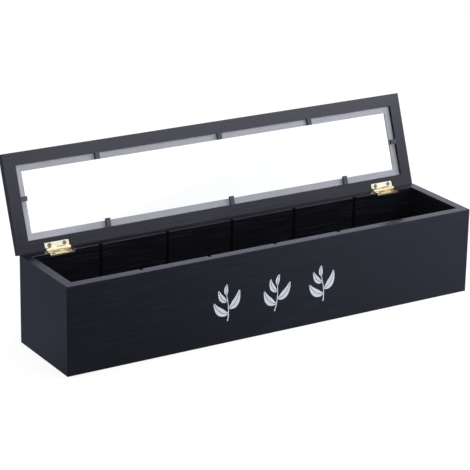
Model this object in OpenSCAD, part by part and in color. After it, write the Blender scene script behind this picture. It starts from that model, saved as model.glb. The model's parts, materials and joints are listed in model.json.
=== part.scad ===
// Tea bag organizer box: a long wooden box with lift-out dividing boards and a hinged lid with a pane.
// The origin is the middle of the underside. X runs along the box, Y from front to back, Z up.
// The lid is drawn open, leaning back on the stops of its hinges.

/* [Box] */
// Length of the box from end to end
box_w = 430; // [340:1:600]
// Depth of the box from front to back
box_d = 91; // [80:1:140]
// Height of the box without its lid
box_h = 83; // [62:1:120]
// Thickness of the four walls
wall_t = 9; // [8:0.5:12]
// Thickness of the bottom board
bottom_t = 3; // [2:0.5:5]
// Width of the rebate that the bottom board lies in
bottom_rebate_w = 5; // [3:0.5:6]
// Play round the edge of the bottom board
bottom_play = 0.2; // [0.1:0.1:0.5]
// Radius of the eased edges of walls and lid
edge_r = 0.5; // [0.3:0.1:1.5]

/* [Dividing boards] */
// Thickness of a dividing board
divider_t = 3; // [2:0.5:4]
// Height of a dividing board
divider_h = 45; // [30:1:50]
// Depth of the grooves in the front and back walls
groove_depth = 3; // [2:0.5:4]
// Width of the chamfers along the mouth of a groove
groove_chamfer = 0.4; // [0.2:0.1:0.6]
// Play between a board and each side of its groove
groove_play = 0.1; // [0.05:0.05:0.3]
// Play between a board and each groove's floor
divider_end_play = 0.4; // [0.2:0.1:0.8]

/* [Lid] */
// Thickness of the lid's frame
lid_t = 8; // [8:0.5:14]
// Gap between the closed lid and the rim
lid_gap = 0.2; // [0.2:0.1:0.6]
// Width of the rails and stiles
frame_w = 17.5; // [15:0.5:22]
// Width of the ledge that the pane lies on
ledge_w = 6; // [3:0.5:7]
// Thickness of the ledge at the window's edge, from where the rail is bevelled to the lid's outer face
lip_t = 1.2; // [1:0.1:1.5]
// Thickness of the pane
glass_t = 1.5; // [1.5:0.5:3]
// Play round the edge of the pane
glass_play = 0.4; // [0.2:0.1:0.8]
// How far the lid opens, in degrees
open_angle = 110; // [95:1:115]

/* [Glass tabs] */
// Width of a tab along the rail
tab_w = 4.5; // [3:0.5:8]
// Thickness of a tab
tab_t = 2; // [1.5:0.1:3]
// Length of the tabs on the front rail
front_tab_l = 6; // [5:0.5:10]
// Length of the tabs on the rear rail
rear_tab_l = 8; // [5:0.5:10]
// Length of the tab on each stile
side_tab_l = 6; // [5:0.5:10]
// From the left end of the box to the first tabs of both rails
left_tab_at = 93; // [60:1:110]
// From the middle of the box to the middle tab of the front rail
front_middle_tab_at = 7.5; // [-20:0.5:20]
// From the middle of the box to the middle tab of the rear rail
rear_middle_tab_at = 9.5; // [-20:0.5:20]
// From the right end of the box to the last tab of the front rail
front_tab_right_at = 107; // [60:1:120]
// From the right end of the box to the last tab of the rear rail
rear_tab_right_at = 77; // [60:1:120]
// How far the left stile's tab lies in front of the middle of the lid
left_tab_forward = 3.5; // [0:0.5:10]
// How far the right stile's tab lies behind the middle of the lid
right_tab_back = 1; // [0:0.5:10]

/* [Hinges] */
// Width of a hinge along its pin
hinge_w = 24; // [22:1:30]
// From the left end of the box to the middle of the left hinge
left_hinge_at = 38.5; // [32:0.5:42]
// From the right end of the box to the middle of the right hinge
right_hinge_at = 36.5; // [32:0.5:42]
// Thickness of the leaves
leaf_t = 1.2; // [0.8:0.1:1.5]
// Diameter of the pin
pin_d = 2; // [1.6:0.1:2.2]
// How far the pin's axis stands behind the back wall
axis_behind = 0.1; // [0.1:0.1:0.6]
// Clearance round the pin in the lid's knuckles
running_play = 0.05; // [0.03:0.01:0.08]
// Clearance round the pin in the box's knuckles
tight_play = 0.02; // [0.01:0.01:0.03]
// Gap between neighbouring knuckles
knuckle_gap = 0.3; // [0.2:0.05:0.5]
// Gap between a knuckle and the wood or leaf that it turns past
turning_gap = 0.4; // [0.3:0.05:0.6]
// Gap round the sides and front of the lid's leaf in its recess
recess_gap = 0.9; // [0.3:0.1:1.2]
// Gap at each side of the box's leaf in its mortise
mortise_gap = 0.4; // [0.2:0.1:0.8]
// How far the stop tail reaches down from the pin's axis
tail_l = 4.5; // [3.5:0.5:7]
// Gap between the stop tail and the back wall
tail_gap = 0.1; // [0.05:0.05:0.2]

/* [Hinge screws] */
// Distance between the two screws of a leaf
screw_pitch = 15; // [14:0.5:17]
// Diameter of a screw's head
head_d = 4; // [3.4:0.1:4.2]
// Diameter of a screw's shank
shank_d = 1.8; // [1.4:0.1:2]
// Length of a screw, head included
screw_l = 7; // [5:0.5:7.5]
// Metal between a screw's head and the knuckle side of the lid's leaf
head_margin = 0.1; // [0.05:0.05:0.3]
// Metal between a screw's head and the front edge of the lid's leaf
front_margin = 0.5; // [0.3:0.1:1]
// Depth of the screw's cross recess
cross_depth = 0.5; // [0.3:0.1:0.7]
// Width of each slot of the cross
cross_w = 0.6; // [0.4:0.1:0.8]

/* [Hidden] */
$fn = 48;

// Longer than any piece, for cuts that run right through
through = 2 * (box_w + box_d + box_h);
// How far a cut runs past the face that it opens
past = 1;

// Inside of the box
inner_w = box_w - 2 * wall_t;
inner_d = box_d - 2 * wall_t;

bottom_w = inner_w + 2 * (bottom_rebate_w - bottom_play);
bottom_d = inner_d + 2 * (bottom_rebate_w - bottom_play);

// The boards part the inside into equal compartments
divider_count = 5;
divider_pitch = (inner_w + divider_t) / (divider_count + 1);
groove_w = divider_t + 2 * groove_play;
divider_l = inner_d + 2 * (groove_depth - divider_end_play);
divider_edge_r = divider_t / 4;

// Hinge: each leaf is bent round the pin, so its plate lies level with the outside of the knuckle
knuckle_r = pin_d / 2 + leaf_t;
knuckle_count = 4;
knuckle_step = hinge_w / knuckle_count;
knuckle_l = knuckle_step - knuckle_gap;
// A tail is a little narrower than its knuckle and starts inside its wall
tail_inset = knuckle_gap;
tail_root = (knuckle_r + pin_d / 2) / 2;
axis_y = box_d / 2 + axis_behind;
// The lid's leaf lies flush with the underside of the closed lid
lid_z = box_h + lid_gap;
axis_z = lid_z - (knuckle_r - leaf_t);
// The lid's leaf is as long as its screws need, and its own plate starts clear of the other's knuckles
plate_start = knuckle_r + turning_gap;
lid_screw_at = plate_start + head_margin + head_d / 2;
lid_leaf_l = lid_screw_at + head_d / 2 + front_margin;
// The box's leaf reaches the inner face of the back wall, with its screws halfway along its plate
box_leaf_l = wall_t + axis_behind;
box_screw_at = (plate_start + box_leaf_l) / 2;
mortise_depth = box_h - (axis_z - knuckle_r);
pin_ease = pin_d / 8;
left_hinge_x = -box_w / 2 + left_hinge_at;
right_hinge_x = box_w / 2 - right_hinge_at;

// Glass
rebate_depth = glass_t + tab_t;
bevel = lid_t - rebate_depth - lip_t;
rail_face_w = frame_w - ledge_w;
rebate_w = box_w - 2 * rail_face_w;
rebate_d = box_d - 2 * rail_face_w;
pane_w = rebate_w - 2 * glass_play;
pane_d = rebate_d - 2 * glass_play;

// Places of the eight tabs: x, y, turn about Z and length. Turn 0 points back from the front rail.
left_tab_x = -box_w / 2 + left_tab_at;
tab_places = [
    [left_tab_x, -rebate_d / 2, 0, front_tab_l],
    [front_middle_tab_at, -rebate_d / 2, 0, front_tab_l],
    [box_w / 2 - front_tab_right_at, -rebate_d / 2, 0, front_tab_l],
    [left_tab_x, rebate_d / 2, 180, rear_tab_l],
    [rear_middle_tab_at, rebate_d / 2, 180, rear_tab_l],
    [box_w / 2 - rear_tab_right_at, rebate_d / 2, 180, rear_tab_l],
    [-rebate_w / 2, -left_tab_forward, -90, side_tab_l],
    [rebate_w / 2, right_tab_back, 90, side_tab_l],
];

// Screws: the head is a cone that ends at the shank
head_depth = (head_d - shank_d) / 2;
tip_l = shank_d;
tip_d = 0.2;
screw_play = 0.05;
cross_l = head_d * 0.6;

// Rectangle with rounded corners, from the origin to [w, h]
module eased_rectangle(w, h, r) {
    translate([r, 0]) square([w - 2 * r, h]);
    translate([0, r]) square([w, h - 2 * r]);
    for (x = [r, w - r], y = [r, h - r])
        translate([x, y]) circle(r);
}

// Rectangle with rounded corners round the middle
module centred_rectangle(w, h, r) {
    translate([-w / 2, -h / 2]) eased_rectangle(w, h, r);
}

// Bar along X under the 2D profile, whose x runs in from the outer face at y = -d / 2
module bar(d) {
    translate([-through / 2, -d / 2, 0])
        rotate([90, 0, 90])
            linear_extrude(through) children();
}

// One side of a mitred frame of w by d, height h. The profile is the child and turn is 0 or 180.
module mitred_long_side(w, d, h, turn) {
    rotate([0, 0, turn]) intersection() {
        bar(d) children();
        linear_extrude(h) centred_rectangle(w, d, edge_r);
        linear_extrude(h)
            polygon([[-w / 2, -d / 2], [w / 2, -d / 2], [w / 2 - d / 2, 0], [-w / 2 + d / 2, 0]]);
    }
}

// The same for the short sides: turn is -90 for the left and 90 for the right
module mitred_short_side(w, d, h, turn) {
    rotate([0, 0, turn]) intersection() {
        bar(w) children();
        linear_extrude(h) centred_rectangle(d, w, edge_r);
        linear_extrude(h)
            polygon([[-d / 2, -w / 2], [d / 2, -w / 2], [0, -w / 2 + d / 2]]);
    }
}

// Section of a wall: outer face at x = 0, with the rebate for the bottom board
module wall_section() {
    difference() {
        eased_rectangle(wall_t, box_h, edge_r);
        translate([wall_t - bottom_rebate_w, -past])
            square([bottom_rebate_w + past, bottom_t + past]);
    }
}

// Section of a rail: outer edge at x = 0 and the inner side at y = 0, with the rebate for the pane
// and the bevel round the window on the outer face
module rail_section() {
    difference() {
        eased_rectangle(frame_w, lid_t, edge_r);
        translate([rail_face_w, -past])
            square([ledge_w + past, rebate_depth + past]);
        polygon([[frame_w, lid_t - bevel], [frame_w - bevel, lid_t], [frame_w - bevel, lid_t + past],
            [frame_w + past, lid_t + past], [frame_w + past, lid_t - bevel]]);
    }
}

// The five grooves of the front wall, from the bottom board up through the rim
module front_grooves() {
    for (i = [1 : divider_count])
        translate([divider_x(i), -inner_d / 2, bottom_t]) linear_extrude(box_h) groove_plan();
}

// Groove seen from above, its mouth along y = 0, wider by a chamfer at each side
module groove_plan() {
    half_w = groove_w / 2;
    mouth = half_w + groove_chamfer + past;
    polygon([[-half_w, -groove_depth], [half_w, -groove_depth], [half_w, -groove_chamfer],
        [mouth, past], [-mouth, past], [-half_w, -groove_chamfer]]);
}

function divider_x(i) = (i - (divider_count + 1) / 2) * divider_pitch;

// Everything on the lid is drawn closed, then turned open about the pins
module opened() {
    translate([0, axis_y, axis_z])
        rotate([-open_angle, 0, 0])
            translate([0, -axis_y, -axis_z]) children();
}

// Screw with its flat head's top at the origin, pointing down -Z
module screw() {
    difference() {
        union() {
            translate([0, 0, -head_depth]) cylinder(h = head_depth, d1 = shank_d, d2 = head_d);
            translate([0, 0, -screw_l + tip_l]) cylinder(h = screw_l - tip_l - head_depth, d = shank_d);
            translate([0, 0, -screw_l]) cylinder(h = tip_l, d1 = tip_d, d2 = shank_d);
        }
        for (a = [45, 135])
            rotate([0, 0, a]) translate([-cross_l / 2, -cross_w / 2, -cross_depth])
                cube([cross_l, cross_w, cross_depth + past]);
    }
}

// Hole that a screw passes: the head's cone and the shank, each a little wider
module screw_hole() {
    translate([0, 0, -head_depth])
        cylinder(h = head_depth, d1 = shank_d + 2 * screw_play, d2 = head_d + 2 * screw_play);
    cylinder(h = past, d = head_d + 2 * screw_play);
    translate([0, 0, -screw_l - screw_play])
        cylinder(h = screw_l, d = shank_d + 2 * screw_play);
}

// The two screw places of a leaf, at a distance from the pin's axis
module at_screws(distance) {
    for (side = [-1, 1])
        translate([side * screw_pitch / 2, -distance, 0]) children();
}

// The left ends of every other knuckle from number first, on the pin's axis
module at_knuckles(first) {
    for (i = [first : 2 : knuckle_count - 1])
        translate([-hinge_w / 2 + i * knuckle_step + knuckle_gap / 2, 0, 0]) children();
}

module knuckles(first) {
    at_knuckles(first) rotate([0, 90, 0]) cylinder(h = knuckle_l, r = knuckle_r);
}

// Plate of a leaf below the axis: whole up to the knuckles, and up to the pin only at its own
module leaf_plate(length, first) {
    translate([-hinge_w / 2, -length, -knuckle_r])
        cube([hinge_w, length - plate_start, leaf_t]);
    at_knuckles(first)
        translate([0, -plate_start - past, -knuckle_r])
            cube([knuckle_l, plate_start + past, leaf_t]);
}

module pin_bore(play) {
    translate([-hinge_w, 0, 0]) rotate([0, 90, 0]) cylinder(h = 2 * hinge_w, d = pin_d + 2 * play);
}

// Fixed leaf, round the pin's axis at the origin
module box_leaf() {
    difference() {
        union() {
            leaf_plate(box_leaf_l, 0);
            knuckles(0);
        }
        pin_bore(tight_play);
        at_screws(box_screw_at) translate([0, 0, -knuckle_r + leaf_t]) screw_hole();
    }
}

// Tail that bears on the back of the box when the lid is open, drawn in that position
module stop_tails() {
    at_knuckles(1)
        translate([tail_inset, -axis_behind + tail_gap, -tail_l])
            cube([knuckle_l - 2 * tail_inset, leaf_t, tail_l - tail_root]);
}

// Moving leaf, closed, round the pin's axis at the origin
module lid_leaf() {
    difference() {
        union() {
            mirror([0, 0, 1]) leaf_plate(lid_leaf_l, 1);
            knuckles(1);
            rotate([open_angle, 0, 0]) stop_tails();
        }
        pin_bore(running_play);
        at_screws(lid_screw_at) translate([0, 0, knuckle_r - leaf_t]) mirror([0, 0, 1]) screw_hole();
    }
}

// Pin with its ends eased
module hinge_pin() {
    for (side = [0, 1])
        mirror([side, 0, 0]) rotate([0, 90, 0]) {
            cylinder(h = hinge_w / 2 - pin_ease, d = pin_d);
            translate([0, 0, hinge_w / 2 - pin_ease])
                cylinder(h = pin_ease, d1 = pin_d, d2 = pin_d - 2 * pin_ease);
        }
}

// Cuts that a hinge needs in the back wall: the mortise, the cove round the barrel and the pilot holes
module back_wall_hinge_cuts() {
    translate([-hinge_w / 2 - mortise_gap, -box_leaf_l - past, -knuckle_r])
        cube([hinge_w + 2 * mortise_gap, box_leaf_l + 2 * past, mortise_depth + past]);
    barrel_cove();
    at_screws(box_screw_at) translate([0, 0, -knuckle_r + leaf_t]) screw_hole();
}

// Cuts that a hinge needs in the closed lid's rear rail
module rear_rail_hinge_cuts() {
    translate([-hinge_w / 2 - recess_gap, -lid_leaf_l - recess_gap, knuckle_r - leaf_t - past])
        cube([hinge_w + 2 * recess_gap, lid_leaf_l + recess_gap + past, leaf_t + past]);
    barrel_cove();
    at_screws(lid_screw_at) translate([0, 0, knuckle_r - leaf_t]) mirror([0, 0, 1]) screw_hole();
}

module barrel_cove() {
    translate([-hinge_w / 2 - mortise_gap, 0, 0])
        rotate([0, 90, 0]) cylinder(h = hinge_w + 2 * mortise_gap, r = knuckle_r + turning_gap);
}

module at_hinge(x) {
    translate([x, axis_y, axis_z]) children();
}

module front_panel() {
    color("#26282d") difference() {
        mitred_long_side(box_w, box_d, box_h, 0) wall_section();
        front_grooves();
    }
}

module back_panel() {
    color("#26282d") difference() {
        mitred_long_side(box_w, box_d, box_h, 180) wall_section();
        mirror([0, 1, 0]) front_grooves();
        at_hinge(left_hinge_x) back_wall_hinge_cuts();
        at_hinge(right_hinge_x) back_wall_hinge_cuts();
    }
}

module left_side_panel() {
    color("#2b2d33") mitred_short_side(box_w, box_d, box_h, -90) wall_section();
}

module right_side_panel() {
    color("#2b2d33") mitred_short_side(box_w, box_d, box_h, 90) wall_section();
}

module bottom_panel() {
    color("#1c1d20") translate([-bottom_w / 2, -bottom_d / 2, 0]) cube([bottom_w, bottom_d, bottom_t]);
}

// Board across the box, standing on the bottom board, with its upper edges eased
module divider(i) {
    color("#202227")
        translate([divider_x(i) - divider_t / 2, divider_l / 2, bottom_t])
            rotate([90, 0, 0]) linear_extrude(divider_l) {
                square([divider_t, divider_h - divider_edge_r]);
                eased_rectangle(divider_t, divider_h, divider_edge_r);
            }
}

module lid_front_rail() {
    color("#34363c") opened()
        translate([0, 0, lid_z]) mitred_long_side(box_w, box_d, lid_t, 0) rail_section();
}

module lid_rear_rail() {
    color("#34363c") opened() difference() {
        translate([0, 0, lid_z]) mitred_long_side(box_w, box_d, lid_t, 180) rail_section();
        at_hinge(left_hinge_x) rear_rail_hinge_cuts();
        at_hinge(right_hinge_x) rear_rail_hinge_cuts();
    }
}

module lid_left_stile() {
    color("#3a3c42") opened()
        translate([0, 0, lid_z]) mitred_short_side(box_w, box_d, lid_t, -90) rail_section();
}

module lid_right_stile() {
    color("#3a3c42") opened()
        translate([0, 0, lid_z]) mitred_short_side(box_w, box_d, lid_t, 90) rail_section();
}

module lid_glass() {
    color("#dfeaf0", 0.35) opened()
        translate([-pane_w / 2, -pane_d / 2, lid_z + tab_t]) cube([pane_w, pane_d, glass_t]);
}

// Small block over the edge of the pane, flush with the lid's inner side
module glass_tab(i) {
    place = tab_places[i - 1];
    color("#2b2d31") opened()
        translate([place[0], place[1], lid_z]) rotate([0, 0, place[2]])
            translate([-tab_w / 2, 0, 0]) cube([tab_w, place[3], tab_t]);
}

module hinge_box_leaf(x) {
    color("#e6d3a0") at_hinge(x) box_leaf();
}

module hinge_lid_leaf(x) {
    color("#e6d3a0") opened() at_hinge(x) lid_leaf();
}

module hinge_pin_at(x) {
    color("#b89d5f") at_hinge(x) hinge_pin();
}

module hinge_box_screws(x) {
    color("#cdb67c") at_hinge(x) at_screws(box_screw_at) translate([0, 0, -knuckle_r + leaf_t]) screw();
}

module hinge_lid_screws(x) {
    color("#cdb67c") opened() at_hinge(x) at_screws(lid_screw_at)
        translate([0, 0, knuckle_r - leaf_t]) mirror([0, 0, 1]) screw();
}

front_panel();
back_panel();
left_side_panel();
right_side_panel();
bottom_panel();
divider(1);  // divider_1
divider(2);  // divider_2
divider(3);  // divider_3
divider(4);  // divider_4
divider(5);  // divider_5
lid_front_rail();
lid_rear_rail();
lid_left_stile();
lid_right_stile();
lid_glass();
glass_tab(1);  // glass_tab_1
glass_tab(2);  // glass_tab_2
glass_tab(3);  // glass_tab_3
glass_tab(4);  // glass_tab_4
glass_tab(5);  // glass_tab_5
glass_tab(6);  // glass_tab_6
glass_tab(7);  // glass_tab_7
glass_tab(8);  // glass_tab_8
hinge_box_leaf(left_hinge_x);  // left_hinge_box_leaf
hinge_box_leaf(right_hinge_x);  // right_hinge_box_leaf
hinge_lid_leaf(left_hinge_x);  // left_hinge_lid_leaf
hinge_lid_leaf(right_hinge_x);  // right_hinge_lid_leaf
hinge_pin_at(left_hinge_x);  // left_hinge_pin
hinge_pin_at(right_hinge_x);  // right_hinge_pin
hinge_box_screws(left_hinge_x);  // left_hinge_box_screws
hinge_box_screws(right_hinge_x);  // right_hinge_box_screws
hinge_lid_screws(left_hinge_x);  // left_hinge_lid_screws
hinge_lid_screws(right_hinge_x);  // right_hinge_lid_screws
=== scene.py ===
# %% [markdown]
# # A black tea bag box with a glass lid
#
# The object is a long box of painted wood, 43 cm from end to end, for tea bags in paper envelopes.
# Five low boards part it into six. Its lid holds a pane of glass and leans back on two brass hinges.
#
# The shapes come from a CAD model that is loaded as a frame. Every board, pane, tab, leaf, pin and screw
# is a mesh of its own that already stands in its place, so nothing has to be placed by eye.
# What is left for Blender is how the surfaces look, and the ornament that is printed on the front.

# %% Load the frame
import json
import math
import bmesh
import bpy
from mathutils import Matrix, Vector


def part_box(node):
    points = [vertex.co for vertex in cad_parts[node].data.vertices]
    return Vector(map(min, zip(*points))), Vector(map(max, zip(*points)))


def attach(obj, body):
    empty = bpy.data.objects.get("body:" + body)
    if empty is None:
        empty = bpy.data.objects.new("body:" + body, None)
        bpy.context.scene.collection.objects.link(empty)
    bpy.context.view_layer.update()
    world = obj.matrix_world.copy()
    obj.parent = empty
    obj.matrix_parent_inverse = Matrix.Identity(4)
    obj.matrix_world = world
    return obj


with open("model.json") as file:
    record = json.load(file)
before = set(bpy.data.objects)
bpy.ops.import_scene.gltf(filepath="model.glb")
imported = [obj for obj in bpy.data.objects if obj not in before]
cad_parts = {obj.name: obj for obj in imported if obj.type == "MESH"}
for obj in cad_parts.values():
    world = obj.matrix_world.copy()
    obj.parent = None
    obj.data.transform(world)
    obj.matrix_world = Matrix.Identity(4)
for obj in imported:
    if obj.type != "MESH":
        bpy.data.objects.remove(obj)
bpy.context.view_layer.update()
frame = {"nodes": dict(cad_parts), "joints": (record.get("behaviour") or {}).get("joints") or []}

nodes = frame["nodes"]
print("CAD nodes:", len(nodes))

# %% [markdown]
# ## Two units
#
# Blender works in metres and a box maker in millimetres. One factor turns the second into the first,
# so that sizes below can be read as they would stand on a drawing.

# %% Millimetres
MM = 0.001


def millimetres(corners):
    return [[round(value / MM, 1) for value in corner] for corner in corners]


# %% [markdown]
# ## The camera
#
# The picture was taken from the front left with a long lens, a little above the box. A long lens keeps
# the edges nearly parallel, which is how catalogues show boxes. The lens is given by its focal length in
# pixels of a square picture, because that is what fitting a camera to the corners of a box gives.
# The camera turns about Z first, then tips down, then rolls by one degree.

# %% Camera
PICTURE_PIXELS = 470
FOCAL_PIXELS = 2094.2
SENSOR_WIDTH = 36
CAMERA_PLACE = Vector((-973.1, -1530.6, 715.4)) * MM
CAMERA_YAW = math.radians(31.93)
CAMERA_PITCH = math.radians(19.33)
CAMERA_ROLL = math.radians(1.02)

camera_data = bpy.data.cameras.new("camera")
camera_data.sensor_width = SENSOR_WIDTH
camera_data.lens = SENSOR_WIDTH * FOCAL_PIXELS / PICTURE_PIXELS
camera = bpy.data.objects.new("camera", camera_data)
camera.matrix_world = (
    Matrix.Translation(CAMERA_PLACE)
    @ Matrix.Rotation(-CAMERA_YAW, 4, "Z")
    @ Matrix.Rotation(math.radians(90) - CAMERA_PITCH, 4, "X")
    @ Matrix.Rotation(CAMERA_ROLL, 4, "Z")
)
scene = bpy.context.scene
scene.collection.objects.link(camera)
scene.camera = camera
print("lens in mm:", round(camera_data.lens, 1))

# %% [markdown]
# ## Sums between nodes
#
# A finish is a small formula: this much grain, times that much, added to the paint. In Blender every
# sum is a node, and a formula soon becomes a web of them. The class below holds the output of a node, and
# the signs + - * / on it add the node for that sum, so that a finish can be written as a formula.
# Numbers go through Math nodes. Positions and colours have three parts and go through Vector Math,
# because a Math node would turn them grey.

# %% A value on its way through the nodes
class Value:
    """The output of a node. The signs + - * / on it add the nodes that work them out."""

    def __init__(self, tree, socket):
        self.tree = tree
        self.socket = socket

    def __add__(self, other):
        return self.tree.sum("ADD", self, other)

    def __radd__(self, other):
        return self.tree.sum("ADD", other, self)

    def __sub__(self, other):
        return self.tree.sum("SUBTRACT", self, other)

    def __rsub__(self, other):
        return self.tree.sum("SUBTRACT", other, self)

    def __mul__(self, other):
        return self.tree.sum("MULTIPLY", self, other)

    def __rmul__(self, other):
        return self.tree.sum("MULTIPLY", other, self)

    def __truediv__(self, other):
        return self.tree.sum("DIVIDE", self, other)


print("signs that add a node: + - * /")

# %% [markdown]
# ## One way to add any other node
#
# Everything else, such as noise or a bump, comes from one method. It takes the node's type, then its
# settings, such as the operation of a sum, then what goes into its sockets: numbers, colours or other
# values. The settings go first, because some of them change which sockets a node has.

# %% A web of nodes
def has_three_parts(item):
    """Whether an item is a position or a colour and not a number."""
    if isinstance(item, Value):
        return item.socket.type != "VALUE"
    return not isinstance(item, (int, float))


class Web:
    """The nodes of a material or of the world."""

    def __init__(self, owner):
        owner.use_nodes = True
        self.tree = owner.node_tree
        # A new world comes with a plain background that nothing here needs.
        for ready_made in [node for node in self.tree.nodes if node.type == "BACKGROUND"]:
            self.tree.nodes.remove(ready_made)

    def node(self, kind, settings=None, inputs=None, output=0):
        """Adds a node of a kind and returns one of its outputs."""
        added = self.tree.nodes.new(kind)
        for name, setting in (settings or {}).items():
            setattr(added, name, setting)
        for name, item in (inputs or {}).items():
            self.feed(self.socket(added.inputs, name), item)
        return Value(self, self.socket(added.outputs, output))

    def socket(self, sockets, name):
        """The socket at a number or with a name."""
        if isinstance(name, int):
            return sockets[name]
        return next(found for found in sockets if name in (found.identifier, found.name))

    def feed(self, socket, item):
        """Links a value to a socket, or sets a number or a colour on it."""
        if isinstance(item, Value):
            self.tree.links.new(item.socket, socket)
        elif socket.type == "RGBA":
            socket.default_value = (*item, 1)
        else:
            socket.default_value = item

    def parts(self, vector):
        """The X, Y and Z of a vector, as three values."""
        first = self.node("ShaderNodeSeparateXYZ", None, {0: vector})
        return [Value(self, output) for output in first.socket.node.outputs]

    def sum(self, operation, first, second):
        """What an operation makes of two values."""
        kind = "ShaderNodeMath"
        if has_three_parts(first) or has_three_parts(second):
            kind = "ShaderNodeVectorMath"
        return self.node(kind, {"operation": operation}, {0: first, 1: second})

    def mix(self, share, low, high):
        """The colour low where share is 0 and high where it is 1."""
        settings = {"data_type": "RGBA"}
        inputs = {"Factor_Float": share, "A_Color": low, "B_Color": high}
        return self.node("ShaderNodeMix", settings, inputs, "Result_Color")

    def step(self, value, start, end):
        """0 up to start, 1 from end on, and smooth in between."""
        settings = {"interpolation_type": "SMOOTHSTEP"}
        inputs = {"Value": value, "From Min": start, "From Max": end}
        return self.node("ShaderNodeMapRange", settings, inputs)


print("a web can add a node, mix two colours and make a smooth step")

# %% [markdown]
# ## A finish
#
# A finish is a material whose web ends in one Principled shader. Numbers that are the same all over the
# surface are set on the shader itself. Only what changes from place to place comes from nodes.

# %% Finishes
class Finish(Web):
    """A material that ends in a Principled shader."""

    def __init__(self, name, **constants):
        self.material = bpy.data.materials.new(name)
        super().__init__(self.material)
        self.shader = self.tree.nodes["Principled BSDF"]
        self.set(**constants)

    def set(self, **inputs):
        """Sets sockets of the shader, whose names are given with _ for a space."""
        for name, item in inputs.items():
            self.feed(self.shader.inputs[name.replace("_", " ")], item)

    def place(self):
        """Where a point is on its piece at rest, in metres."""
        return self.node("ShaderNodeTexCoord", output="Object")

    def noise(self, place, detail=2, roughness=0.5):
        """Cloudy values round a half. One cloud is about one unit of the place wide."""
        inputs = {"Vector": place, "Scale": 1, "Detail": detail, "Roughness": roughness}
        return self.node("ShaderNodeTexNoise", None, inputs)

    def bump(self, height, distance):
        """Raises the surface by height, where 1 is distance metres."""
        inputs = {"Height": height, "Distance": distance, "Strength": 1}
        self.set(Normal=self.node("ShaderNodeBump", None, inputs))


def cover(finish, *names):
    """Gives the finish to CAD nodes."""
    for name in names:
        mesh = nodes[name].data
        mesh.materials.clear()
        mesh.materials.append(finish.material)


print("materials so far:", len(bpy.data.materials))

# %% [markdown]
# ## Paint over straight grain
#
# The boards are sprayed satin black. The coat is thin, so the grain below still shows as fine lines along
# each board: a little lighter, a little rougher and about a hundredth of a millimetre high. The back and the
# bottom got less paint than the rest, so their grain stands out more.
#
# Noise that is stretched along the board makes such lines, and a broader one lets them come and go. Each
# board runs its own way, so the finish is made once for each direction. For the lid the position is first
# turned back to where it is when the lid is closed, because there the boards run along the axes.

# %% Painted wood
ALONG_X = (1, 0, 0)
ALONG_Y = (0, 1, 0)
LINE_LENGTH = 40 * MM
LINE_WIDTH = 1.1 * MM
LINE_DETAIL = 4
LINE_ROUGHNESS = 0.6
DRIFT_LENGTH = 90 * MM
DRIFT_WIDTH = 14 * MM
RIDGE_EDGE = (0.42, 0.72)
SOFT_LINES = 0.5
GRAIN_HEIGHT = 0.01 * MM
SATIN = 0.13
SATIN_ON_LINES = 0.1
SATIN_DRIFT = 0.06
PAINT = (0.0056, 0.0058, 0.0069)
PAINT_ON_LINES = (0.017, 0.0176, 0.021)
THIN_PAINT_ON_LINES = (0.025, 0.0258, 0.031)

lid_hinge = next(joint for joint in frame["joints"] if joint["name"] == "lid_hinge")
OPEN_ANGLE = math.radians(-lid_hinge["range_deg"][0])


def stretched(place, along, length, width):
    """The position counted in lengths along the board and in widths across it."""
    return place * tuple(a / length + (1 - a) / width for a in along)


def closed_lid_place(finish):
    """Where a point of the lid is when the lid is closed."""
    inputs = {"Vector": finish.place(), "Center": lid_hinge["pos_m"], "Angle": OPEN_ANGLE}
    return finish.node("ShaderNodeVectorRotate", {"rotation_type": "X_AXIS"}, inputs)


def paint_wood(finish, place, along, on_lines=PAINT_ON_LINES):
    """Puts the ridges of the grain on a finish and returns the paint's colour and roughness."""
    grain_place = stretched(place, along, LINE_LENGTH, LINE_WIDTH)
    lines = finish.noise(grain_place, LINE_DETAIL, LINE_ROUGHNESS)
    drift = finish.noise(stretched(place, along, DRIFT_LENGTH, DRIFT_WIDTH))
    ridges = finish.step(lines, *RIDGE_EDGE)
    finish.bump(ridges + SOFT_LINES * lines, GRAIN_HEIGHT)
    roughness = SATIN + SATIN_ON_LINES * lines + SATIN_DRIFT * drift
    return finish.mix(ridges * drift, PAINT, on_lines), roughness


def painted_board(name, along, on_lines=PAINT_ON_LINES):
    """Paint for a board of the box, whose place at rest is the place of its grain."""
    finish = Finish(name)
    paint, roughness = paint_wood(finish, finish.place(), along, on_lines)
    finish.set(Base_Color=paint, Roughness=roughness)
    return finish


ends = ("left_side_panel", "right_side_panel")
inner_boards = ("back_panel", "bottom_panel")
dividers = [name for name in nodes if name.startswith("divider")]
cover(painted_board("paint_along_x", ALONG_X), "front_panel")
cover(painted_board("thin_paint", ALONG_X, THIN_PAINT_ON_LINES), *inner_boards)
cover(painted_board("paint_along_y", ALONG_Y), *ends)
cover(painted_board("board_paint", ALONG_Y), *dividers)
print("painted boards:", 1 + len(inner_boards) + len(ends) + len(dividers))

# %% [markdown]
# ## The lid's frame and its pale ledge
#
# The frame is painted like the box. The ledge that the pane lies on shows through the glass as a pale
# grey band, so it only has its primer. The walls round it are dull, and their near-black is painted shade
# for the shade in the rebate. All of this is the same piece of wood, so the bands are not pieces but changes
# of
# colour on the frame: a point belongs to the ledge if it lies inside the rebate and at its floor, and to a
# wall if it lies between the ledge and the underside, all measured with the lid closed. Towards the hinges
# the
# primer is painted paler: painted light that makes up for the shade the box casts on the ledge there.

# %% The lid's frame
PRIMER = (0.46, 0.46, 0.43)
# The paler primer is painted light that makes up for the shade the box casts on the ledge near the hinges.
PRIMER_WITH_PAINTED_LIGHT = (0.58, 0.58, 0.56)
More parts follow.
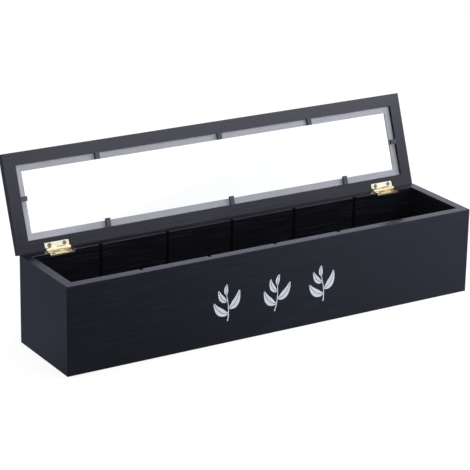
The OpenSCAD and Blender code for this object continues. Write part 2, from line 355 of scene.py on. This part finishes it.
# Near-black painted shade for the rebate walls and the tabs' sides, which the light misses.
PAINTED_SHADE_BLACK = (0.002, 0.002, 0.0025)
CUT_ROUGHNESS = 0.9
EDGE_BLUR = 0.05 * MM
WALL_MARGIN = 3 * EDGE_BLUR
REBATE_MARGIN = 2 * MM
PAINTED_LIGHT_SLOPE = (-10 * MM, 25 * MM)


def closed_box(name):
    """Lowest and highest corner of a lid node when the lid is closed, in metres."""
    pivot = Matrix.Translation(lid_hinge["pos_m"])
    closing = pivot @ Matrix.Rotation(OPEN_ANGLE, 4, "X") @ pivot.inverted()
    corners = [closing @ vertex.co for vertex in nodes[name].data.vertices]
    low = Vector(min(corner[axis] for corner in corners) for axis in range(3))
    high = Vector(max(corner[axis] for corner in corners) for axis in range(3))
    return low, high


pane_low, pane_high = closed_box("lid_glass")
underside = closed_box("lid_front_rail")[0].z
print("pane of the closed lid in mm:", millimetres((pane_low, pane_high)))


def within(finish, value, low, high):
    """1 where value lies between low and high, else 0."""
    return finish.step(value, low - EDGE_BLUR, low) * (1 - finish.step(value, high, high + EDGE_BLUR))


def rebate_masks(finish, place):
    """Masks that are 1 on the ledge and 1 on the walls round it, and the colour of the primer, painted paler
    towards the hinges as painted light.
    """
    x, y, z = finish.parts(place)
    inside = within(finish, x, pane_low.x - REBATE_MARGIN, pane_high.x + REBATE_MARGIN)
    inside = inside * within(finish, y, pane_low.y - REBATE_MARGIN, pane_high.y + REBATE_MARGIN)
    ledge = inside * within(finish, z, pane_high.z - EDGE_BLUR, pane_high.z + EDGE_BLUR)
    walls = inside * within(finish, z, underside + WALL_MARGIN, pane_high.z - WALL_MARGIN)
    # Painted light: the primer grows paler towards the hinges, where the box shades the ledge.
    thickness = finish.step(y, *PAINTED_LIGHT_SLOPE)
    return ledge, walls, finish.mix(thickness, PRIMER, PRIMER_WITH_PAINTED_LIGHT)


def painted_rail(name, along):
    """Paint with the bands of the rebate in it: the primed ledge, and the walls in painted shade."""
    finish = Finish(name)
    place = closed_lid_place(finish)
    paint, roughness = paint_wood(finish, place, along)
    ledge, walls, primer = rebate_masks(finish, place)
    # The walls get near-black painted shade.
    finish.set(Base_Color=finish.mix(walls, finish.mix(ledge, paint, primer), PAINTED_SHADE_BLACK))
    finish.set(Roughness=roughness + (CUT_ROUGHNESS - roughness) * walls)
    return finish


cover(painted_rail("rail_paint", ALONG_X), "lid_front_rail", "lid_rear_rail")
cover(painted_rail("stile_paint", ALONG_Y), "lid_left_stile", "lid_right_stile")

# %% [markdown]
# ## Glass tabs
#
# Small blocks hold the pane in its rebate. Their face is painted and catches the light. Their sides, which
# look along X, are dull, and their near-black is painted shade for the sides that the light misses. The
# Normal output of the coordinates tells the two apart.

# %% Glass tabs
TAB_PAINT = (0.04, 0.041, 0.05)
TAB_PAINT_THIN = (0.075, 0.078, 0.09)
TAB_CLOUD = 1.5 * MM
TAB_ROUGHNESS = 0.5
TAB_HEIGHT = 0.05 * MM
SHADED_SIDE_EDGE = (0.4, 0.6)

tabs = [name for name in nodes if name.startswith("glass_tab")]
tab_paint = Finish("tab_paint")
tab_clouds = tab_paint.noise(tab_paint.place() / ((TAB_CLOUD,) * 3))
facing_x = tab_paint.parts(tab_paint.node("ShaderNodeTexCoord", output="Normal"))[0]
# Painted shade: the sides that look along X are made near-black.
shaded_sides = tab_paint.step(facing_x * facing_x, *SHADED_SIDE_EDGE)
tab_face = tab_paint.mix(tab_clouds, TAB_PAINT, TAB_PAINT_THIN)
tab_paint.set(Base_Color=tab_paint.mix(shaded_sides, tab_face, PAINTED_SHADE_BLACK))
tab_paint.set(Roughness=TAB_ROUGHNESS + (CUT_ROUGHNESS - TAB_ROUGHNESS) * shaded_sides)
tab_paint.bump(tab_clouds, TAB_HEIGHT)
cover(tab_paint, *tabs)
print("tabs:", len(tabs))

# %% [markdown]
# ## Glass
#
# A thin flat pane bends light so little that it can be left out: what is behind it shows through
# unchanged, and only the gloss on top is seen. So the pane is a mix of a clear shader and a mirror.
#
# As on real glass, the flatter the look, the more mirror. A Fresnel node would take the far side of the pane
# for glass seen from within and close it at low angles. So the share comes from Facing, which treats both
# sides alike: a fixed share plus the fifth power of how flat the look is.

# %% Glass
MIRROR_SHARE = 0.04
GLASS_TINT = (0.99, 0.993, 0.998)
GLASS_ROUGHNESS = 0.02

glass = Finish("clear_glass")
clear = glass.node("ShaderNodeBsdfTransparent", None, {"Color": GLASS_TINT})
mirror = glass.node("ShaderNodeBsdfGlossy", None, {"Roughness": GLASS_ROUGHNESS})
flatness = glass.node("ShaderNodeLayerWeight", None, {"Blend": 0.5}, "Facing")
squared = flatness * flatness
share = MIRROR_SHARE + (1 - MIRROR_SHARE) * (squared * squared * flatness)
pane_shader = glass.node("ShaderNodeMixShader", None, {0: share, 1: clear, 2: mirror})
glass.feed(glass.tree.nodes["Material Output"].inputs["Surface"], pane_shader)
cover(glass, "lid_glass")
print("glass nodes:", len(glass.tree.nodes))

# %% [markdown]
# ## Brass
#
# The hinges are stamped from brass sheet and plated pale. Rolling the sheet leaves fine lines along the
# hinge, which change its roughness, and handling leaves faint clouds, which change its colour. All leaves
# are
# the same brass: the paler colour of the leaves on the lid is a painted highlight, and the warmer, darker
# colour of the leaves on the box is painted shade. The pin is drawn wire, and the screws are much darker. On
# the knuckles, which lie close round the hinge's axis, a darker warm brass is painted in clouds: painted
# shade that dims their highlight.

# %% Brass
# The lid leaves' paler brass is a painted highlight and the box leaves' warmer brass painted shade; both are
# the same brass.
LIT_PALE_BRASS = ((0.97, 0.95, 0.7), (0.9, 0.87, 0.6))
SHADED_WARM_BRASS = ((0.93, 0.87, 0.62), (0.86, 0.78, 0.49))
WIRE_BRASS = ((0.72, 0.58, 0.27), (0.86, 0.76, 0.47))
DARK_BRASS = ((0.34, 0.3, 0.19), (0.24, 0.2, 0.12))
# Darker brass painted on the knuckles as painted shade, to dim their highlight.
KNUCKLE_SHADE_BRASS = (0.78, 0.67, 0.38)
KNUCKLE_RADIUS = 2.2 * MM
KNUCKLE_EDGE = (1.05, 1.2)
SHEET_LINE_LENGTH = 6 * MM
SHEET_LINE_WIDTH = 0.2 * MM
SHEET_LINE_DETAIL = 3
SHEET_LINE_ROUGHNESS = 0.12
BRASS_CLOUD = 4 * MM
CLOUD_EDGE = (0.35, 0.75)
KNUCKLE_SHADE_EDGE = (0.2, 0.55)


def knuckles(finish):
    """1 on the knuckles, which curl round the axis of the hinges, else 0."""
    offset = (finish.place() - tuple(lid_hinge["pos_m"])) / ((KNUCKLE_RADIUS,) * 3)
    x, y, z = finish.parts(offset)
    return 1 - finish.step(y * y + z * z, *KNUCKLE_EDGE)


def brass(name, colours, roughness, line_height):
    """Rolled brass in two colours that change into each other in clouds, with darker painted shade on the
    knuckles.
    """
    finish = Finish(name, Metallic=1.0)
    line_place = stretched(finish.place(), ALONG_X, SHEET_LINE_LENGTH, SHEET_LINE_WIDTH)
    lines = finish.noise(line_place, SHEET_LINE_DETAIL)
    clouds = finish.noise(finish.place() / ((BRASS_CLOUD,) * 3))
    plating = finish.mix(finish.step(clouds, *CLOUD_EDGE), *colours)
    # Painted shade on the knuckles, in clouds, that dims their highlight.
    knuckle_shade = knuckles(finish) * finish.step(clouds, *KNUCKLE_SHADE_EDGE)
    finish.set(Base_Color=finish.mix(knuckle_shade, plating, KNUCKLE_SHADE_BRASS))
    finish.set(Roughness=roughness + SHEET_LINE_ROUGHNESS * lines)
    finish.bump(lines, line_height)
    return finish


lid_leaves = [name for name in nodes if name.endswith("lid_leaf")]
box_leaves = [name for name in nodes if name.endswith("box_leaf")]
pins = [name for name in nodes if name.endswith("pin")]
screws = [name for name in nodes if name.endswith("screws")]
# Paler lid leaves are a painted highlight, warmer box leaves painted shade.
cover(brass("pale_brass", LIT_PALE_BRASS, roughness=0.36, line_height=0.004 * MM), *lid_leaves)
cover(brass("shaded_warm_brass", SHADED_WARM_BRASS, roughness=0.3, line_height=0.004 * MM), *box_leaves)
cover(brass("pin_brass", WIRE_BRASS, roughness=0.25, line_height=0.003 * MM), *pins)
cover(brass("screw_brass", DARK_BRASS, roughness=0.3, line_height=0.004 * MM), *screws)
print("leaves, pins and screws:", len(lid_leaves + box_leaves), len(pins), len(screws))

# %% [markdown]
# ## Strokes of print
#
# The front carries an ornament in pale grey print. Print is a thin film, so each stroke becomes a flat plate
# a tenth of a millimetre thick. A stroke is drawn on paper first, in millimetres, as two edges with as many
# points each: the plate is the strip between them.
# The edges come from one curve, which leaves its start towards a bend and arrives at its end from there.

# %% Strokes
CURVE_STEPS = 24


def curve(start, bend, end):
    """Points from start to end, pulled towards bend."""
    start, bend, end = Vector(start), Vector(bend), Vector(end)
    points = []
    for step in range(CURVE_STEPS + 1):
        t = step / CURVE_STEPS
        points.append(start * (1 - t) ** 2 + bend * (2 * t * (1 - t)) + end * t**2)
    return points


def beside(points, widths):
    """The same line, each point moved to its left by its own width."""
    moved = []
    for index, point in enumerate(points):
        before = points[max(index - 1, 0)]
        after = points[min(index + 1, len(points) - 1)]
        along = (after - before).normalized()
        moved.append(point + Vector((-along.y, along.x)) * widths[index])
    return moved


def stem_stroke(line, foot_width, top_width):
    """A strip along a line that grows narrower, as two edges."""
    shares = [index / CURVE_STEPS for index in range(len(line))]
    half = [(foot_width * (1 - share) + top_width * share) / 2 for share in shares]
    return beside(line, half), beside(line, [-width for width in half])


print("points on a curve:", len(curve((0, 0), (1, 1), (2, 0))))

# %% [markdown]
# ## A leaf in two halves
#
# A tea leaf is a pointed oval with a toothed edge. Its midrib stays bare, which parts the leaf into two
# strokes. The sine of half a turn gives the swelling of the oval, which a power below one moves a little
# towards the stem, and every second point stands out to make the teeth. All lengths are in millimetres.

# %% Leaves
MIDRIB = 0.5
TOOTH = 0.22
THINNEST = 0.2
SWELLING_POWER = 0.85
STEM = ((0, 0), (3, 10), (0.5, 25))
LEAVES = {
    "left": (((1.0, 7), (-9, 8), (-13, 20)), 3.0),
    "right": (((2.2, 12), (11, 13), (14, 27)), 3.1),
    "upper left": (((0.6, 19), (-6, 21), (-7.5, 31)), 2.1),
    "bud": (((0.5, 25), (-0.5, 30), (1.5, 35)), 1.5),
}


def leaf_width(index, widest):
    """From the midrib's middle to the leaf's edge."""
    swelling = math.sin(math.pi * (index / CURVE_STEPS) ** SWELLING_POWER)
    return MIDRIB / 2 + THINNEST + widest * swelling + TOOTH * (index % 2)


def leaf_strokes(line, widest):
    """The two halves of a leaf along its midrib."""
    strokes = []
    for side in (-1, 1):
        inner = beside(line, [side * MIDRIB / 2] * len(line))
        outer = beside(line, [side * leaf_width(index, widest) for index in range(len(line))])
        strokes.append((inner, outer))
    return strokes


def sprig_strokes():
    """A stem, three leaves and a bud. The foot of the stem is at the origin."""
    strokes = [stem_stroke(curve(*STEM), foot_width=1.1, top_width=0.6)]
    for line, widest in LEAVES.values():
        strokes += leaf_strokes(curve(*line), widest)
    return strokes


print("strokes in a sprig:", len(sprig_strokes()))

# %% [markdown]
# ## Three sprigs on the front
#
# The strokes go from paper to the front panel: across becomes X, up becomes Z, and the thickness runs in Y.
# Each sprig has a place across the front and leans its own way by a few degrees, so that they look drawn and
# not copied. The three are one mesh, because they are one print.

# %% The print
PRINT_THICKNESS = 0.1 * MM
PRINT_SUNK = 0.02 * MM
PRINT = (0.86, 0.9, 0.88)
PRINT_WORN = (0.78, 0.82, 0.81)
PRINT_CLOUD = 2.5 * MM
PRINT_CLOUD_DETAIL = 4
PRINT_WORN_EDGE = (0.35, 0.7)
PRINT_ROUGHNESS = 0.45
PRINT_ROUGHNESS_IN_CLOUDS = 0.2
PRINT_HEIGHT = 0.01 * MM
SPRIG_FOOT = 21 * MM
SPRIGS = {"left": (-54 * MM, 4), "middle": (-4 * MM, -5), "right": (49 * MM, 7)}

front_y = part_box("front_panel")[0][1]
print_mesh = bmesh.new()
for across, lean in SPRIGS.values():
    turn = Matrix.Rotation(math.radians(lean), 2)
    for left, right in sprig_strokes():
        rows = []
        for edge in (left, right):
            flat = [turn @ point * MM for point in edge]
            spots = [(across + at.x, front_y + PRINT_SUNK, SPRIG_FOOT + at.y) for at in flat]
            rows.append([print_mesh.verts.new(spot) for spot in spots])
        for index in range(CURVE_STEPS):
            corners = [rows[0][index], rows[0][index + 1], rows[1][index + 1], rows[1][index]]
            print_mesh.faces.new(corners)
sheet = print_mesh.faces[:]
for face in sheet:
    face.normal_update()
    if face.normal.y > 0:
        face.normal_flip()
bmesh.ops.solidify(print_mesh, geom=sheet, thickness=-PRINT_THICKNESS)
bmesh.ops.recalc_face_normals(print_mesh, faces=print_mesh.faces[:])
sprig_mesh = bpy.data.meshes.new("front_sprigs")
print_mesh.to_mesh(sprig_mesh)
print_mesh.free()

sprig_finish = Finish("pale_print")
cloud_place = sprig_finish.place() / ((PRINT_CLOUD,) * 3)
print_clouds = sprig_finish.noise(cloud_place, PRINT_CLOUD_DETAIL)
worn = sprig_finish.step(print_clouds, *PRINT_WORN_EDGE)
sprig_finish.set(Base_Color=sprig_finish.mix(worn, PRINT, PRINT_WORN))
sprig_finish.set(Roughness=PRINT_ROUGHNESS + PRINT_ROUGHNESS_IN_CLOUDS * print_clouds)
sprig_finish.bump(print_clouds, PRINT_HEIGHT)
sprig_mesh.materials.append(sprig_finish.material)
sprigs = bpy.data.objects.new("front_sprigs", sprig_mesh)
scene.collection.objects.link(sprigs)
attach(sprigs, "box")
print("sprigs in mm:", millimetres([sprigs.bound_box[0], sprigs.bound_box[6]]))

# %% [markdown]
# ## The studio that the paint mirrors
#
# Black paint shows little of its own: what is seen on it is the studio, mirrored. The far wall, which is
# brightest in its middle, lights the rims, and a panel at the front right lights the lid. So the world is
# built as that studio. Each part of it is a direction, cut out with smooth steps of X, Y and Z, times a
# level. An edge below gives where such a step starts and where it ends. Only the camera sees plain white.

# %% The world
BLACK = (0, 0, 0)
WHITE = (1, 1, 1)
STUDIO_WHITE = 1.15
WALL_TINT = (0.95, 0.945, 1.15)
FAR_WALL = 0.97
FAR_WALL_LEFT = 0.15
FAR_WALL_RIGHT = 0.8
LEFT_WALL = 0.77
PANEL_HAZE = 0.63
PANEL = 1.6
FRONT_EDGE = (0, 0.15)
FAR_EDGE = (0, 0.15)
FAR_FOOT = (-0.05, 0.1)
FAR_TOP = (0.6, 0.8)
FAR_MIDDLE_START = (0.39, 0.44)
FAR_MIDDLE_END = (0.54, 0.6)
LEFT_EDGE = (0.1, 0.5)
LEFT_FOOT = (-0.1, 0.3)
HAZE_EDGE = (0.35, 0.6)
HAZE_FOOT = (0.15, 0.35)
PANEL_EDGE = (0.48, 0.62)
PANEL_FOOT = (0.1, 0.3)

world = bpy.data.worlds.new("studio")
scene.world = world
studio = Web(world)
direction = studio.node("ShaderNodeTexCoord", output="Generated")
x, y, z = studio.parts(direction)
in_front = studio.step(-1 * y, *FRONT_EDGE)
far_wall = studio.step(y, *FAR_EDGE) * studio.step(z, *FAR_FOOT) * (1 - studio.step(z, *FAR_TOP))
far_level = FAR_WALL_LEFT + (FAR_WALL - FAR_WALL_LEFT) * studio.step(x, *FAR_MIDDLE_START)
far_level = far_level - (FAR_WALL - FAR_WALL_RIGHT) * studio.step(x, *FAR_MIDDLE_END)
left_wall = studio.step(-1 * x, *LEFT_EDGE) * studio.step(z, *LEFT_FOOT)
panel_haze = in_front * studio.step(x, *HAZE_EDGE) * studio.step(z, *HAZE_FOOT)
panel = in_front * studio.step(x, *PANEL_EDGE) * studio.step(z, *PANEL_FOOT)
level = far_level * far_wall + LEFT_WALL * left_wall + PANEL_HAZE * panel_haze + PANEL * panel
light = studio.node("ShaderNodeBackground", None, {"Color": WALL_TINT, "Strength": level})
white = studio.node("ShaderNodeBackground", None, {"Color": WHITE, "Strength": STUDIO_WHITE})
is_camera = studio.node("ShaderNodeLightPath", output="Is Camera Ray")
seen = studio.node("ShaderNodeMixShader", None, {0: is_camera, 1: light, 2: white})
studio.feed(studio.tree.nodes["World Output"].inputs["Surface"], seen)
print("studio nodes:", len(studio.tree.nodes))

# %% [markdown]
# ## Three soft panels
#
# A world is endlessly far away, so it lights both ends of the box alike. The panel near the front right is
# a real lamp, which falls off over the length of the box. A second one overhead lights the inside.
# The third stands at the front left, where no face of the box mirrors it towards the camera: it lights the
# pale print and leaves the black paint black.

# %% Soft panels
PRINT_PANEL_TINT = (0.95, 1, 1)
SOFT_PANELS = {
    "near": {
        "place": (0.65, -0.8, 0.75),
        "target": (0.05, 0.07, 0.12),
        "size": (1, 0.6),
        "power": 3.1,
        "tint": WALL_TINT,
    },
    "top": {
        "place": (0, 0.1, 1.4),
        "target": (0, 0, 0),
        "size": (1.2, 0.8),
        "power": 10.4,
        "tint": WALL_TINT,
    },
    "print": {
        "place": (-0.5, -1.3, 0.7),
        "target": (0, -0.05, 0.05),
        "size": (1, 0.8),
        "power": 7.5,
        "tint": PRINT_PANEL_TINT,
    },
}


def soft_panel(name, place, target, size, power, tint):
    """A lamp as a rectangle that faces a target. Lengths are in metres and the power in watts."""
    lamp = bpy.data.lights.new(name, "AREA")
    lamp.shape = "RECTANGLE"
    lamp.size, lamp.size_y = size
    lamp.energy = power
    lamp.color = tint
    panel = bpy.data.objects.new(name, lamp)
    panel.location = place
    panel.rotation_euler = (Vector(target) - Vector(place)).to_track_quat("-Z", "Y").to_euler()
    scene.collection.objects.link(panel)
    return panel


panels = [soft_panel(name, **settings) for name, settings in SOFT_PANELS.items()]
print("panels in watts:", [round(made.data.energy, 1) for made in panels])

# %% [markdown]
# ## The table
#
# The front gets its light from the table: at this angle it mirrors the strip of table right before it, which
# lies in the shade of the box and grows lighter towards the right. The camera is to see a plain pale floor
# instead. So there are two planes. The floor is hidden from mirrors and bounce light. The table is hidden
# from the camera, and its level before the box comes from one smooth step along X. It glows, so that it
# needs no lamp, and behind the box's front it has one even level.

# %% The floor and the table
TABLE_TINT = (0.85, 0.945, 1.26)
TABLE_SHADE = 0.16
TABLE_LIGHT = 0.57
TABLE_LEFT = 0.24
TABLE_EDGE = (-0.25, 0.5)
TABLE_FRONT_EDGE = (-0.05, 0.05)
TABLE_HALF_SIZE = 3
TABLE_HEIGHT = -0.2 * MM
FLOOR_COLOUR = (0.36, 0.36, 0.28)
FLOOR_GLOW = 0.8
FLOOR_HALF_SIZE = 6
FLOOR_HEIGHT = -0.5 * MM


def plane(name, half_size, height, material):
    """A square level plane that belongs to the stage."""
    mesh = bpy.data.meshes.new(name)
    shape = bmesh.new()
    bmesh.ops.create_grid(shape, x_segments=1, y_segments=1, size=half_size)
    shape.to_mesh(mesh)
    shape.free()
    mesh.materials.append(material)
    made = bpy.data.objects.new(name, mesh)
    made.location.z = height
    scene.collection.objects.link(made)
    return made


floor_finish = Finish("pale_floor", Roughness=0.9, Specular_IOR_Level=0.1)
floor_finish.set(Base_Color=FLOOR_COLOUR, Emission_Color=WHITE, Emission_Strength=FLOOR_GLOW)
floor = plane("floor", FLOOR_HALF_SIZE, FLOOR_HEIGHT, floor_finish.material)
floor.visible_glossy = False
floor.visible_diffuse = False

table_finish = Finish("shaded_table", Base_Color=BLACK, Specular_IOR_Level=0, Emission_Strength=1)
x, y, z = table_finish.parts(table_finish.place())
right = TABLE_SHADE + TABLE_LIGHT * table_finish.step(x, *TABLE_EDGE)
before_box = table_finish.step(-1 * y, *TABLE_FRONT_EDGE)
table_level = TABLE_LEFT + (right - TABLE_LEFT) * before_box
table_finish.set(Emission_Color=table_level * TABLE_TINT)
table = plane("table", TABLE_HALF_SIZE, TABLE_HEIGHT, table_finish.material)
table.visible_camera = False
table.visible_shadow = False
table.visible_transmission = False

scene.view_settings.view_transform = "Standard"
print("stage:", floor.name, table.name)
